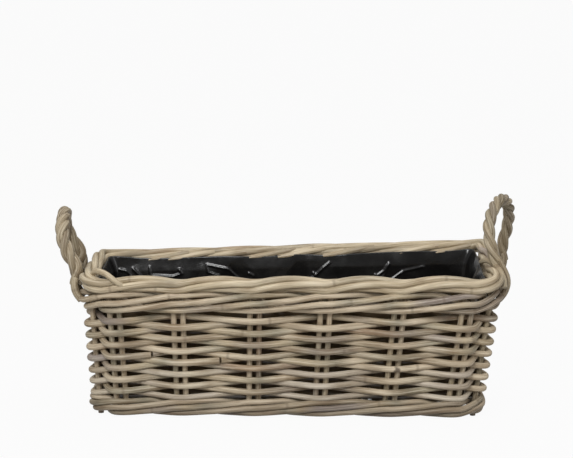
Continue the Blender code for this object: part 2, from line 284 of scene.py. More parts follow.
@dataclass(frozen=True)
class PaperFinish:
    """Seamless studio paper: plain white, with a soft shadow on it."""

    colour: str = "#A3A2A0"
    glow_share: float = 0.95

    def build(self, name: str) -> bpy.types.Material:
        """Build the material under a name."""
        material, node = new_material(name)
        matt = node("ShaderNodeBsdfDiffuse", {"Color": linear(self.colour)})
        white = node("ShaderNodeEmission", {"Strength": 1.0})
        rays = node("ShaderNodeLightPath")
        seen = node("ShaderNodeMath", {0: rays.outputs["Is Camera Ray"], 1: rays.outputs["Is Glossy Ray"]},
            operation="MAXIMUM")
        share = node("ShaderNodeMath", {0: seen, 1: self.glow_share}, operation="MULTIPLY")
        both = node("ShaderNodeMixShader", {0: share, 1: matt, 2: white})
        node("ShaderNodeOutputMaterial", {"Surface": both})
        return material


@dataclass(frozen=True)
class WallForm:
    """The tapered wall: where its stakes stand at each height."""

    base_half_length: float = 0.2241
    rim_half_length: float = 0.2384
    base_half_width: float = 0.0711
    rim_half_width: float = 0.0866
    border_level: float = 0.1663
    post_setback: float = 0.0170
    outer_pair_inset: float = 0.0278
    pair_spacing: float = 0.0110
    stake_radius: float = 0.0034
    seat_gap: float = 0.0003
    foot_run: float = 0.0030
    rim_shift: float = 0.0044
    base_shift_share: float = 0.25
    front_right_lift: float = 0.0030
    back_right_lift: float = 0.0170
    front_shares: tuple[float, ...] = (-1.0, -0.638, -0.203, 0.197, 0.617, 1.0)
    end_shares: tuple[float, ...] = (-0.43, 0.43)
    arc_step: float = math.radians(25)

    def half_length(self, level: float) -> float:
        """Half the length of the stakes' rectangle at a height."""
        return self.base_half_length + (self.rim_half_length - self.base_half_length) * level / self.border_level

    def half_width(self, level: float) -> float:
        """Half the width of the stakes' rectangle at a height."""
        return self.base_half_width + (self.rim_half_width - self.base_half_width) * level / self.border_level

    def front_pairs(self, level: float) -> list[list[Place]]:
        """Centres of the front stake pairs at a height, from left to right."""
        reach = self.half_length(level) - self.outer_pair_inset
        width = self.half_width(level)
        half = self.pair_spacing / 2
        return [[(share * reach - half, -width), (share * reach + half, -width)] for share in self.front_shares]

    def end_pairs(self, level: float) -> list[list[Place]]:
        """Centres of the right end's stake pairs at a height, from front to back."""
        length = self.half_length(level)
        reach = self.half_width(level) - self.post_setback
        half = self.pair_spacing / 2
        return [[(length, share * reach - half), (length, share * reach + half)] for share in self.end_shares]

    def corner_posts(self, level: float) -> list[Place]:
        """Centres of the corner posts: front left, front right, back right, back left."""
        length = self.half_length(level)
        width = self.half_width(level) - self.post_setback
        return [(-length, -width), (length, -width), (length, width), (-length, width)]

    def groups(self, level: float) -> list[list[Place]]:
        """Every group of stakes at a height, counterclockwise from the front left corner."""
        posts = self.corner_posts(level)
        front = self.front_pairs(level)
        end = self.end_pairs(level)
        back = [[(-x, -y) for x, y in group] for group in front]
        left = [[(-x, -y) for x, y in group] for group in end]
        return [[posts[0]], *front, [posts[1]], *end, [posts[2]], *back, [posts[3]], *left]

    def wrap_radius(self, cane_radius: float) -> float:
        """Distance from a stake's centre to that of a level cane that passes it."""
        slope = (self.rim_half_length - self.base_half_length + self.rim_shift) / self.border_level
        side = (self.rim_half_width - self.base_half_width) / self.border_level
        return (self.stake_radius + cane_radius + self.seat_gap) * math.sqrt(1 + slope ** 2 + side ** 2)

    def spread(self, x: float, y: float, level: float, height: float) -> Point:
        """Move a place found at a level out or in with the walls, to a height above that level."""
        length_share = self.half_length(level + height) / self.half_length(level)
        width_share = self.half_width(level + height) / self.half_width(level)
        return x * length_share, y * width_share, level + height

    def settled(self, x: float, y: float, z: float) -> Point:
        """Find where a point of the true basket lies once the basket has taken its set.

        Args:
            x: Place along the true basket.
            y: Depth.
            z: Height.
        Returns:
            The place in the set basket, which leans to the right and stands higher at its right end.
        """
        height_share = min(1.0, max(0.0, z - self.foot_run) / (self.border_level - self.foot_run))
        right_share = (1 + x / self.rim_half_length) / 2
        back_share = (1 + y / self.rim_half_width) / 2
        lift = self.front_right_lift + (self.back_right_lift - self.front_right_lift) * back_share
        shift = self.rim_shift * (height_share - self.base_shift_share)
        return x + shift, y, z + lift * right_share * height_share

    @staticmethod
    def heading(start: Place, end: Place, start_reach: float, end_reach: float) -> float:
        """Direction of a cane drawn tight from one stake to the next.

        Args:
            start: Centre of the first stake.
            end: Centre of the next stake.
            start_reach: Distance from the first stake's centre to the cane, below zero inside the wall.
            end_reach: The same at the next stake.
        Returns:
            The direction in radians.
        """
        across = end[0] - start[0]
        deep = end[1] - start[1]
        return math.atan2(deep, across) - math.asin((end_reach - start_reach) / math.hypot(across, deep))

    def taut(self, level: float, reaches: list[float]) -> list[list[Place]]:
        """Line of a cane drawn tight round the stakes.

        Args:
            level: Height of the cane.
            reaches: For each group of stakes, how far outside their centres the cane passes.
        Returns:
            For each group of stakes, the places that the cane takes beside it.
        """
        stakes = [(place, reaches[number], number) for number, group in enumerate(self.groups(level))
            for place in group]
        passed: list[list[Place]] = [[] for _ in reaches]
        for index, (place, reach, number) in enumerate(stakes):
            before = stakes[index - 1]
            after = stakes[(index + 1) % len(stakes)]
            entry = self.heading(before[0], place, before[1], reach)
            leave = self.heading(place, after[0], reach, after[1])
            turn = (leave - entry + math.pi) % (2 * math.pi) - math.pi
            steps = max(1, math.ceil(abs(turn) / self.arc_step))
            corner = reach / math.cos(turn / (2 * steps))
            for step in range(steps):
                angle = entry + turn * (step + 0.5) / steps
                passed[number].append((place[0] + corner * math.sin(angle), place[1] - corner * math.cos(angle)))
        return passed


@dataclass
class CaneSweep:
    """Draws round canes along lines with Geometry Nodes, and dresses them."""

    wall: WallForm
    finishes: dict[Use, bpy.types.Material]
    ring_spacing: float = 0.0024
    sides: int = 12
    swell: float = 0.075
    knuckle_swell: float = 0.05
    dent: float = 0.00022
    lap_taper: float = 0.72
    made: list[str] = field(default_factory=list)

    def __post_init__(self) -> None:
        """Build the tree once."""
        self.tree = bpy.data.node_groups.new("cane_sweep", "GeometryNodeTree")
        face = self.tree.interface
        for name, kind in (("Line", "NodeSocketGeometry"), ("Radius", "NodeSocketFloat"),
                ("Ring Spacing", "NodeSocketFloat"), ("Sides", "NodeSocketInt"), ("Easing", "NodeSocketInt"),
                ("Swell", "NodeSocketFloat"), ("Dent", "NodeSocketFloat"), ("Seed", "NodeSocketInt"),
                ("Finish", "NodeSocketMaterial")):
            face.new_socket(name=name, in_out="INPUT", socket_type=kind)
        face.new_socket(name="Cane", in_out="OUTPUT", socket_type="NodeSocketGeometry")
        self.build_tree()

    def build_tree(self) -> None:
        """Lay out the nodes: even rings, eased bends, a swept circle, dents and the finish."""
        tree = self.tree
        node = partial(add_node, tree)
        given = node("NodeGroupInput").outputs
        rings = node("GeometryNodeResampleCurve", {"Curve": given["Line"], "Length": given["Ring Spacing"]},
            mode="LENGTH")
        place = node("GeometryNodeInputPosition")
        eased = node("GeometryNodeBlurAttribute", {"Value": place, "Iterations": given["Easing"]},
            data_type="FLOAT_VECTOR")
        line = node("GeometryNodeSetPosition", {"Geometry": rings, "Position": eased})
        spline = node("GeometryNodeSplineParameter")
        offset = node("ShaderNodeMath", {0: given["Seed"], 1: 3.7}, operation="MULTIPLY")
        run = node("ShaderNodeMath", {0: spline.outputs["Length"], 1: offset}, operation="ADD")
        kept_run = node("GeometryNodeCaptureAttribute", {"Geometry": line})
        kept_run.capture_items.new("FLOAT", "Run")
        tree.links.new(run.outputs[0], kept_run.inputs[1])

        wave = node("ShaderNodeTexNoise", {"W": run, "Scale": 1 / 0.06, "Detail": 2.0}, noise_dimensions="1D")
        swell = node("ShaderNodeMath", {0: wave, 1: 0.5}, operation="SUBTRACT")
        taper = node("GeometryNodeInputRadius")
        swollen = node("ShaderNodeMath", {0: swell, 1: given["Swell"], 2: taper}, operation="MULTIPLY_ADD")
        apart = knuckle_distance(node, run.outputs[0], CaneFinish.knuckle_spacing)
        ring = node("ShaderNodeMapRange", {0: apart, 1: 0.006, 2: 0.0, 3: 0.0, 4: self.knuckle_swell},
            interpolation_type="SMOOTHSTEP")
        size = node("ShaderNodeMath", {0: swollen, 1: ring}, operation="ADD")

        circle = node("GeometryNodeCurvePrimitiveCircle", {"Resolution": given["Sides"],
            "Radius": given["Radius"]})
        profile_place = node("GeometryNodeInputPosition")
        kept_round = node("GeometryNodeCaptureAttribute", {"Geometry": circle})
        kept_round.capture_items.new("VECTOR", "Round")
        tree.links.new(profile_place.outputs[0], kept_round.inputs[1])
        tube = node("GeometryNodeCurveToMesh", {"Curve": kept_run, "Profile Curve": kept_round, "Scale": size,
            "Fill Caps": True})

        around = node("ShaderNodeSeparateXYZ", {0: kept_round.outputs[1]})
        grain = node("ShaderNodeCombineXYZ", {"X": kept_run.outputs[1], "Y": around.outputs["X"],
            "Z": around.outputs["Y"]})
        stored = node("GeometryNodeStoreNamedAttribute", {"Geometry": tube, "Name": "grain", "Value": grain},
            data_type="FLOAT_VECTOR", domain="POINT")
        stretched = node("ShaderNodeVectorMath", {0: grain, 1: (1 / 0.018, 1 / 0.004, 1 / 0.004)},
            operation="MULTIPLY")
        dents = node("ShaderNodeTexNoise", {"Vector": stretched, "Scale": 1.0, "Detail": 1.0})
        deep = node("ShaderNodeMath", {0: dents, 1: 0.5}, operation="SUBTRACT")
        depth = node("ShaderNodeMath", {0: deep, 1: given["Dent"]}, operation="MULTIPLY")
        outward = node("GeometryNodeInputNormal")
        push = node("ShaderNodeVectorMath", {0: outward, "Scale": depth}, operation="SCALE")
        dented = node("GeometryNodeSetPosition", {"Geometry": stored, "Offset": push})
        angle = node("GeometryNodeInputMeshEdgeAngle")
        sharp = node("ShaderNodeMath", {0: angle, 1: math.radians(55)}, operation="GREATER_THAN")
        creased = node("GeometryNodeSetShadeSmooth", {"Geometry": dented, "Selection": sharp,
            "Shade Smooth": False}, domain="EDGE")
        whole = node("GeometryNodeRealizeInstances", {0: creased})
        dressed = node("GeometryNodeSetMaterial", {"Geometry": whole, "Material": given["Finish"]})
        node("NodeGroupOutput", {0: dressed})

    def make(self, node: str, points: list[Point], radius: float, use: Use, seed: int, easing: int = 5,
            laps: tuple[list[Point], ...] = (), lap_size: float = 1.0) -> bpy.types.Object:
        """Draw one cane, and let it stand for its CAD node.

        Args:
            node: Name of the CAD node.
            points: Corners of the cane's line.
            radius: Radius of the cane.
            use: What the cane does, which gives its finish.
            seed: Number that sets this cane's own irregularities.
            easing: How far the bends are rounded off, in rings.
            laps: Corners of the short lengths worked in beside the cane.
            lap_size: Radius of those, as a share of the cane's.
        Returns:
            The finished piece.
        """
        curve = bpy.data.curves.new(f"{node}_line", "CURVE")
        curve.dimensions = "3D"
        for length in (points, *laps):
            spline = curve.splines.new("POLY")
            spline.points.add(len(length) - 1)
            for slot, point in zip(spline.points, length):
                slot.co = (*self.wall.settled(*point), 1.0)
                slot.radius = 1.0 if length is points else lap_size
            if length is not points:
                spline.points[0].radius = lap_size * self.lap_taper
        drawn = new_object(f"{node}_line", curve)
        modifier = drawn.modifiers.new("cane", "NODES")
        modifier.node_group = self.tree
        values = {"Radius": radius, "Ring Spacing": self.ring_spacing, "Sides": self.sides, "Easing": easing,
            "Swell": self.swell, "Dent": self.dent, "Seed": seed, "Finish": self.finishes[use]}
        for socket in self.tree.interface.items_tree:
            if socket.name in values:
                modifier[socket.identifier] = values[socket.name]
        graph = bpy.context.evaluated_depsgraph_get()
        mesh = bpy.data.meshes.new_from_object(drawn.evaluated_get(graph), depsgraph=graph)
        mesh.name = f"{node}_cane"
        bpy.data.objects.remove(drawn)
        bpy.data.curves.remove(curve)
        piece = new_object(f"{node}_cane", mesh)
        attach(piece, "root")
        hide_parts(node)
        self.made.append(piece.name)
        return piece


@dataclass
class WovenPart:
    """A part of the basket that is drawn as canes about the wall."""

    wall: WallForm
    sweep: CaneSweep


@dataclass
class Stakes(WovenPart):
    """The doubled stakes and the corner posts."""

    foot_height: float = 0.0036
    top_level: float = 0.1560
    bend_steps: int = 12

    def pair_legs(self, side: str, index: int, level: float) -> list[Place]:
        """Centres of the two legs of a pair at a height.

        Args:
            side: Wall that the pair stands in.
            index: Place of the pair along the wall.
            level: Height.
        Returns:
            The two centres.
        """
        legs = (self.wall.front_pairs if side in ("front", "back") else self.wall.end_pairs)(level)[index]
        return legs if side in ("front", "right") else [(-x, -y) for x, y in legs]

    def pair_line(self, side: str, index: int) -> list[Point]:
        """Line of one doubled stake: down one leg, round the bend and up the other."""
        top_left, top_right = self.pair_legs(side, index, self.top_level)
        points = [(*top_left, self.top_level)]
        for step in range(self.bend_steps + 1):
            angle = math.pi * step / self.bend_steps
            level = self.foot_height + self.wall.stake_radius + (1 - math.sin(angle)) * self.wall.pair_spacing / 2
            left, right = self.pair_legs(side, index, level)
            share = (1 - math.cos(angle)) / 2
            points.append((left[0] + (right[0] - left[0]) * share, left[1] + (right[1] - left[1]) * share, level))
        points.append((*top_right, self.top_level))
        return points

    def post_line(self, index: int) -> list[Point]:
        """Line of one corner post, from its foot to under the border."""
        foot = self.wall.corner_posts(self.wall.foot_run)[index]
        top = self.wall.corner_posts(self.top_level)[index]
        return [(*foot, 0.0), (*foot, self.wall.foot_run), (*top, self.top_level)]

    def build(self) -> None:
        """Draw every stake and post."""
        seed = 100
        for side, count in (("front", 6), ("right", 2), ("back", 6), ("left", 2)):
            for index in range(count):
                self.sweep.make(f"stake_pair_{side}_{index + 1}", self.pair_line(side, index),
                    self.wall.stake_radius, Use.STAKE, seed, easing=2)
                seed += 1
        for index, corner in enumerate(("front_left", "front_right", "back_right", "back_left")):
            self.sweep.make(f"corner_post_{corner}", self.post_line(index), self.wall.stake_radius, Use.STAKE,
                seed + index, easing=0)
        log.info("stakes: 16 pairs and 4 posts")


@dataclass
class WovenRows(WovenPart):
    """The plain weave of the wall: each row passes outside every other group of stakes."""

    radius: float = 0.0035
    first_level: float = 0.0287
    pitch: float = 0.0072
    count: int = 14
    wander: float = 0.0006
    bow: float = 0.0020
    end_lap: float = 0.0060
    start_lap: float = 0.0042
    end_bulges: tuple[float, float] = (0.0024, 0.0010)
    pale_rows: tuple[int, ...] = (0, 2, 4)
    pale_size: float = 0.88
    long_sides: tuple[int, ...] = (*range(1, 7), *range(11, 17))
    sizes: tuple[float, float] = (1.05, 1.20)
    end_stand: float = 1.05
    visible_ends: dict[int, int] = field(default_factory=lambda: {7: 1, 6: 2, 4: 18})

    def line(self, number: int) -> list[Point]:
        """Line of one row, from a cut end inside the wall all round to one outside it.

        Args:
            number: The row, counted from the bottom.
        Returns:
            Corners of the row's line.
        """
        level = self.first_level + number * self.pitch
        groups = self.wall.groups(level)
        reach = self.wall.wrap_radius(self.radius)
        reaches = [reach if (group + number) % 2 == 0 else -reach for group in range(len(groups))]
        passed = self.wall.taut(level, reaches)
        chance = random.Random(number)
        lifts = [chance.uniform(-self.wander, self.wander) for _ in groups]
        last = self.visible_ends.get(number, 12 + number % 2)
        order = [(last + 1 + step) % len(groups) for step in range(len(groups))]
        start = groups[last][-1]
        end = groups[(last + 1) % len(groups)][0]
        crossing = Vector(((start[0] + end[0]) / 2, (start[1] + end[1]) / 2))
        points = []
        for group in order:
            bowed = level + lifts[group] - math.copysign(self.bow, reaches[group])
            bulges = reaches[group] > 0 and group not in self.long_sides
            bulge = self.end_bulges[group > 12 or group == 0] if bulges else 0.0
            points += [(x + math.copysign(bulge, x), y, bowed) for x, y in passed[group]]
        along = Vector((end[0] - start[0], end[1] - start[1])).normalized()
        outward = Vector((along.y, -along.x)) * self.radius * self.end_stand
        outer = crossing + outward + along * self.end_lap
        begun = outer - along * self.start_lap
        return [(*begun, level), *points, (*outer, level)]

    def build(self) -> None:
        """Draw every row."""
        for number in range(self.count):
            chance = random.Random(number + 50)
            size = self.radius * chance.uniform(*self.sizes)
            use = Use.ROW
            if number in self.pale_rows:
                size *= self.pale_size
                use = Use.PALE_ROW
            self.sweep.make(f"weaver_row_{number + 1:02d}", self.line(number), size, use, number)
        log.info("rows: %d", self.count)


@dataclass
class Wale(WovenPart):
    """A band of four canes that climb past three stake groups outside and drop behind the fourth."""

    name: str
    level: float
    radius: float
    step: float
    belly: float = 0.0045
    bulge: float = 0.0055
    cane_count: int = 4

    def crossing(self, groups: list[list[Place]], number: int, state: int, reach: float) -> Point:
        """Point halfway to the next group of stakes, with its height above the band's middle."""
        start = groups[number][-1]
        end = groups[(number + 1) % len(groups)][0]
        x = (start[0] + end[0]) / 2
        y = (start[1] + end[1]) / 2
        if state == 0:
            return x, y, -self.step
        if state == self.cane_count - 1:
            return x, y, self.step
        angle = math.atan2(end[1] - start[1], end[0] - start[0])
        out = reach + self.bulge
        height = self.step * (state + 0.5 - self.cane_count / 2)
        return x + out * math.sin(angle), y - out * math.cos(angle), height

    def line(self, phase: int) -> list[Point]:
        """Line of one cane of the band, cut where it would dive behind a stake at the back.

        Args:
            phase: How many groups the cane is ahead in its round.
        Returns:
            Corners of the cane's line.
        """
        groups = self.wall.groups(self.level)
        reach = self.wall.wrap_radius(self.radius) + self.wall.seat_gap
        states = [(number + phase) % self.cane_count for number in range(len(groups))]
        state_reaches = (-reach, reach, reach + self.belly, reach)
        passed = self.wall.taut(self.level, [state_reaches[state] for state in states])
        last = next(group for group in range(11, 16) if states[group] == self.cane_count - 1)
        order = [(last + 1 + turn) % len(groups) for turn in range(len(groups))]
        points = []
        for number in order:
            before = self.crossing(groups, number - 1, states[number - 1], reach)
            after = self.crossing(groups, number, states[number], reach)
            for x, y in passed[number]:
                height = self.step * (states[number] - self.cane_count / 2)
                if states[number] == 0:
                    gone = math.hypot(x - before[0], y - before[1])
                    left = math.hypot(x - after[0], y - after[1])
                    height = self.step * (left - gone) / (left + gone)
                points.append(self.wall.spread(x, y, self.level, height))
            points.append(self.wall.spread(after[0], after[1], self.level, after[2]))
        return points

    def build(self) -> None:
        """Draw the band."""
        for phase in range(self.cane_count):
            self.sweep.make(f"{self.name}_{phase + 1}", self.line(phase), self.radius, Use.WALE,
                200 + phase + round(self.level * 1000), easing=6)
        log.info("%s: %d canes", self.name, self.cane_count)


@dataclass
class Border(WovenPart):
    """The rolled border: four canes twisted round each other along the rim."""

    radius: float = 0.0041
    twist_radius: float = 0.0056
    overhang: float = 0.0034
    corner_radius: float = 0.0165
    cane_count: int = 4
    turns: int = 4
    step: float = 0.006
    end_lap: float = 0.0030
    first_dip: float = 0.0916
    dip_spacing: float = 0.0876
    swing: float = 0.30
    sway: float = 0.0012
    crest_height: float = 0.0022
    front_sag: float = 0.0020
    back_sag: float = 0.0016
    back_flatness: float = 0.30
    start_share: float = 0.62
    sway_speed: float = 3.2
    swing_speed: float = 0.8
    front_corner_lap: tuple[Point, ...] = ((-0.2350, -0.0740, 0.1690), (-0.2340, -0.0800, 0.1775),
        (-0.2270, -0.0885, 0.1815), (-0.2150, -0.0965, 0.1785), (-0.2060, -0.0995, 0.1710),
        (-0.1950, -0.0940, 0.1630))
    right_root_lap: tuple[Point, ...] = ((0.2270, -0.0240, 0.1740), (0.2330, -0.0360, 0.1810),
        (0.2410, -0.0500, 0.1800), (0.2480, -0.0620, 0.1740), (0.2520, -0.0720, 0.1640),
        (0.2510, -0.0780, 0.1560))
    back_lap_shape: tuple[Point, ...] = ((0.0, -0.0048, -0.0060), (0.018, -0.0040, -0.0042),
        (0.040, -0.0005, -0.0012), (0.065, 0.0060, 0.0010))
    back_ends: tuple[float, ...] = (-0.1878, -0.1599, -0.0571, -0.0203, 0.0368, 0.1231, 0.1738)

    def rim(self, run: float) -> tuple[Vector, Vector, float]:
        """Place on the rim's centre line.

        Args:
            run: Distance from the front wall's left end, counterclockwise.
        Returns:
            The place, the outward direction and the rim's whole length.
        """
        level = self.wall.border_level
        length = self.wall.half_length(level) + self.overhang
        width = self.wall.half_width(level) + self.overhang
        radius = self.corner_radius
        arc = radius * math.pi / 2
        whole = 4 * (length - radius) + 4 * (width - radius) + 4 * arc
        left = run % whole
        outward = Vector((0, -1, 0))
        forward = Vector((1, 0, 0))
        half, reach = length, width
        for _ in range(4):
            straight = 2 * (half - radius)
            if left < straight:
                return outward * reach + forward * (left - straight / 2) + Vector((0, 0, level)), outward, whole
            left -= straight
            if left < arc:
                angle = left / radius
                centre = outward * (reach - radius) + forward * (half - radius)
                direction = outward * math.cos(angle) + forward * math.sin(angle)
                return centre + direction * radius + Vector((0, 0, level)), direction, whole
            left -= arc
            outward, forward = forward, -outward
            half, reach = reach, half
        return outward * reach - forward * (half - radius) + Vector((0, 0, level)), outward, whole

    def line(self, number: int) -> list[Point]:
        """Line of one border cane, which starts and ends on the inner side of the rim."""
        whole = self.rim(0)[2]
        start = ((self.start_share - number / self.cane_count) % 1 + 2) * whole / self.turns
        points = []
        steps = round(whole / self.step)
        for index in range(steps + 1):
            run = start - self.end_lap + (whole + 2 * self.end_lap) * index / steps
            place, outward, _ = self.rim(run)
            turned = self.turned(run % whole, whole) + 2 * math.pi * self.turns * (run // whole)
            bearing = 2 * math.pi * run / whole
            spot = Vector((math.cos(bearing), math.sin(bearing), 0)) * self.sway_speed
            back = max(0.0, outward.y)
            crest = self.crest_height * (2 * abs(math.cos(2 * turned)) - 1) * (1 - back)
            lift = self.sway * noise.noise(spot) + crest
            lift -= self.front_sag * max(0.0, -outward.y) + self.back_sag * back
            slack = self.swing * noise.noise(spot * self.swing_speed + Vector((0, 0, 7))) * min(1.0,
                1 + outward.y)
            angle = turned + slack + 2 * math.pi * number / self.cane_count
            offset = outward * math.cos(angle) + Vector((0, 0, math.sin(angle) * (1 - self.back_flatness * back)))
            points.append(tuple(place + Vector((0, 0, lift)) + offset * self.twist_radius))
        return points

    def turned(self, run: float, whole: float) -> float:
        """How far the canes have turned round each other: slower along the front, with dips where they show.

        Args:
            run: Distance from the front wall's left end.
            whole: The rim's whole length.
        Returns:
            The angle.
        """
        front = 2 * (self.wall.half_length(self.wall.border_level) + self.overhang - self.corner_radius)
        rate = math.pi / 2 / self.dip_spacing
        start = math.pi / 4 - rate * self.first_dip
        if run < front:
            return start + rate * run
        rest = 2 * math.pi * self.turns - rate * front
        return start + rate * front + rest * (run - front) / (whole - front)

    def back_lap(self, end: float) -> list[Point]:
        """Tail of a stake laid along the back of the rim, from its cut end up to the right."""
        inner = self.wall.half_width(self.wall.border_level) + self.overhang - self.twist_radius - self.radius
        level = self.wall.border_level
        return [(end + along, inner + out, level + up) for along, out, up in self.back_lap_shape]

    def build(self) -> None:
        """Draw the border."""
        tails = [self.back_lap(end) for end in self.back_ends]
        laps = ([list(self.front_corner_lap)], [list(self.right_root_lap)], tails[::2], tails[1::2])
        for number in range(self.cane_count):
            self.sweep.make(f"border_cane_{number + 1}", self.line(number), self.radius, Use.BORDER, 300 + number,
                laps=tuple(laps[number]), lap_size=0.85)
        log.info("border: %d canes", self.cane_count)


@dataclass
class Handle:
    """One handle: three canes twisted along an arch over the end of the basket."""

    border: Border
    name: str
    side: int
    feet: tuple[Place, Place]
    rise: float
    lean: float
    skew_share: float
    cane_radius: float
    twist_radius: float
    roundness: float
    cane_count: int = 3
    turns: float = 4
    steps: int = 130
    half_span: float = 0.0500
    spring_lift: float = 0.0014
    tail_reach: float = 0.0020
    tail_spacing: float = 0.0065
    tail_spread: float = 0.3
    lean_curve: float = 2.0
    look_ahead: float = 0.02

    def centre(self, share: float) -> Vector:
        """Point on the handle's centre line, as on the right end of the basket.

        Args:
            share: Share of the line's length, from the foot of the front leg to the foot of the back one.
        Returns:
            The point.
        """
        (front_reach, front_level), (back_reach, back_level) = self.feet
        level = self.border.wall.border_level
        spring = level + self.border.twist_radius + self.border.radius + self.spring_lift
        front_leg = spring - front_level
        back_leg = spring - back_level
        arch = math.pi * (self.rise + self.half_span) / 2
        run = share * (front_leg + arch + back_leg)
        if run < front_leg:
            y, z = -self.half_span, front_level + run
        elif run > front_leg + arch:
            y, z = self.half_span, spring + front_leg + arch - run
        else:
            angle = math.pi * (run - front_leg) / arch
            turn = math.cos(angle)
            y = -self.half_span * math.copysign(abs(turn) ** self.roundness, turn)
            z = spring + self.rise * math.sin(angle)
        up = max(0.0, (z - spring) / self.rise)
        reach = front_reach + (back_reach - front_reach) * (1 + y / self.half_span) / 2
        x = self.border.wall.half_length(level) + self.border.overhang + reach
        leaning = self.lean * math.sin(self.lean_curve * up) / math.sin(self.lean_curve)
        return Vector((x + leaning + self.skew_share * y * math.sin(math.pi / 2 * up), y, z))

    def tail(self, leg: int, beside: float) -> list[Point]:
        """End of a leg's cane, wrapped down round the outside of the rim and tucked in under it.

        Args:
            leg: -1 for the front leg, 1 for the back one.
            beside: Distance along the rim from the leg's middle.
        Returns:
            Corners of the end's line.
        """
        reach, level = self.feet[(leg + 1) // 2]
        rim = self.border.wall.half_length(self.border.wall.border_level) + self.border.overhang
        out = max(reach, self.border.twist_radius + self.border.radius + self.cane_radius) + self.tail_reach
        steps = ((reach, level + 0.010), (out - 0.0015, 0.1670), (out, 0.1580), (out - 0.0035, 0.1480),
            (out - 0.0110, 0.1395))
        points = []
        for index, (across, height) in enumerate(steps):
            y = leg * self.half_span + beside * (1 + self.tail_spread * index)
            points.append((self.side * (rim + across), y, height))
        return points

    def line(self, number: int) -> list[Point]:
        """Line of one of the handle's canes."""
        points = []
        for step in range(self.steps + 1):
            share = step / self.steps
            ahead = self.centre(min(1.0, share + self.look_ahead))
            behind = self.centre(max(0.0, share - self.look_ahead))
            forward = (ahead - behind).normalized()
            across = Vector((1, 0, 0)).cross(forward).normalized()
            outward = forward.cross(across)
            angle = 2 * math.pi * (self.turns * share + number / self.cane_count)
            around = outward * math.cos(angle) + across * math.sin(angle)
            place = self.centre(share) + around * self.twist_radius
            points.append((self.side * place.x, place.y, place.z))
        return points

    def build(self) -> None:
        """Draw the handle."""
        for number in range(self.cane_count):
            beside = self.tail_spacing * (number - 1)
            laps = () if number == 1 else (self.tail(-1, beside), self.tail(1, beside))
            self.border.sweep.make(f"{self.name}_cane_{number + 1}", self.line(number), self.cane_radius,
                Use.HANDLE, 400 + number + 10 * (self.side + 1), easing=2, laps=laps)
        log.info("%s: %d canes", self.name, self.cane_count)


@dataclass
class Base(WovenPart):
    """The floor of the basket: a rail ring, sticks across it and one cane woven to and fro."""

    rail_radius: float = 0.0040
    rail_corner_radius: float = 0.0160
    stick_radius: float = 0.0035
    stick_count: int = 5
    weaver_radius: float = 0.0030
    lane_count: int = 7
    edge_gap: float = 0.0060
    turn_reach: float = 0.0110
    turn_rise_share: float = 0.6
    turn_start_share: float = 0.17
    foot_height: float = 0.0036
    lower_wale_radius: float = 0.0032

    @property
    def level(self) -> float:
        """Height of the sticks' centre line."""
        return self.foot_height + self.stick_radius + self.wall.seat_gap + self.weaver_radius

    @property
    def rail_size(self) -> tuple[float, float]:
        """Half length and half width of the rail's centre line."""
        inset = (self.wall.wrap_radius(self.lower_wale_radius) + self.lower_wale_radius + 2 * self.wall.seat_gap
            + self.rail_radius)
        return self.wall.half_length(self.level) - inset, self.wall.half_width(self.level) - inset

    @property
    def stick_places(self) -> list[float]:
        """Places of the sticks along X."""
        room = self.turn_reach + self.weaver_radius + self.rail_radius + 2 * self.wall.seat_gap
        reach = self.rail_size[0] - room
        return [reach * (2 * index / (self.stick_count - 1) - 1) for index in range(self.stick_count)]

    def rail_line(self) -> list[Point]:
        """Line of the rail, once round and closed on itself."""
        length, width = self.rail_size
        radius = self.rail_corner_radius
        points = []
        for corner, (x_sign, y_sign) in enumerate(((1, -1), (1, 1), (-1, 1), (-1, -1))):
            for step in range(7):
                angle = math.pi / 2 * (corner - 1 + step / 6)
                points.append((x_sign * (length - radius) + radius * math.cos(angle),
                    y_sign * (width - radius) + radius * math.sin(angle), self.level))
        middle = (0.0, -width, self.level)
        return [middle, *points, middle]

    def weaver_line(self) -> list[Point]:
        """Line of the cane that fills the base, over and under the sticks."""
        places = self.stick_places
        spacing = places[1] - places[0]
        wrap = self.stick_radius + self.weaver_radius + self.wall.seat_gap
        swing = wrap / math.cos(math.atan(2 * wrap / spacing))
        reach = self.rail_size[1] - self.rail_radius - self.edge_gap - self.weaver_radius
        pitch = 2 * reach / (self.lane_count - 1)
        points = []
        for lane in range(self.lane_count):
            y = pitch * lane - reach
            direction = 1 if lane % 2 == 0 else -1
            for index, x in enumerate(places[::direction]):
                stick = index if direction == 1 else self.stick_count - 1 - index
                side = 1 if (stick + lane) % 2 == 0 else -1
                points.append((x, y, self.level + side * swing))
            if lane < self.lane_count - 1:
                turn_x = places[::direction][-1] + direction * self.turn_reach
                rise = side * swing * self.turn_rise_share
                start = self.turn_start_share * pitch
                points.append((turn_x, y + start, self.level + rise))
                points.append((turn_x, y + pitch - start, self.level - rise))
        return points

    def build(self) -> None:
        """Draw the base."""
        self.sweep.make("base_rail", self.rail_line(), self.rail_radius, Use.BASE, 500, easing=1)
        reach = self.rail_size[1] - self.rail_radius - self.wall.seat_gap
        for index, x in enumerate(self.stick_places):
            points = [(x, -reach, self.level), (x, reach, self.level)]
            self.sweep.make(f"base_stick_{index + 1}", points, self.stick_radius, Use.BASE, 501 + index, easing=0)
        self.sweep.make("base_weaver", self.weaver_line(), self.weaver_radius, Use.BASE, 510, easing=2)
        log.info("base: rail, %d sticks and a weaver", self.stick_count)


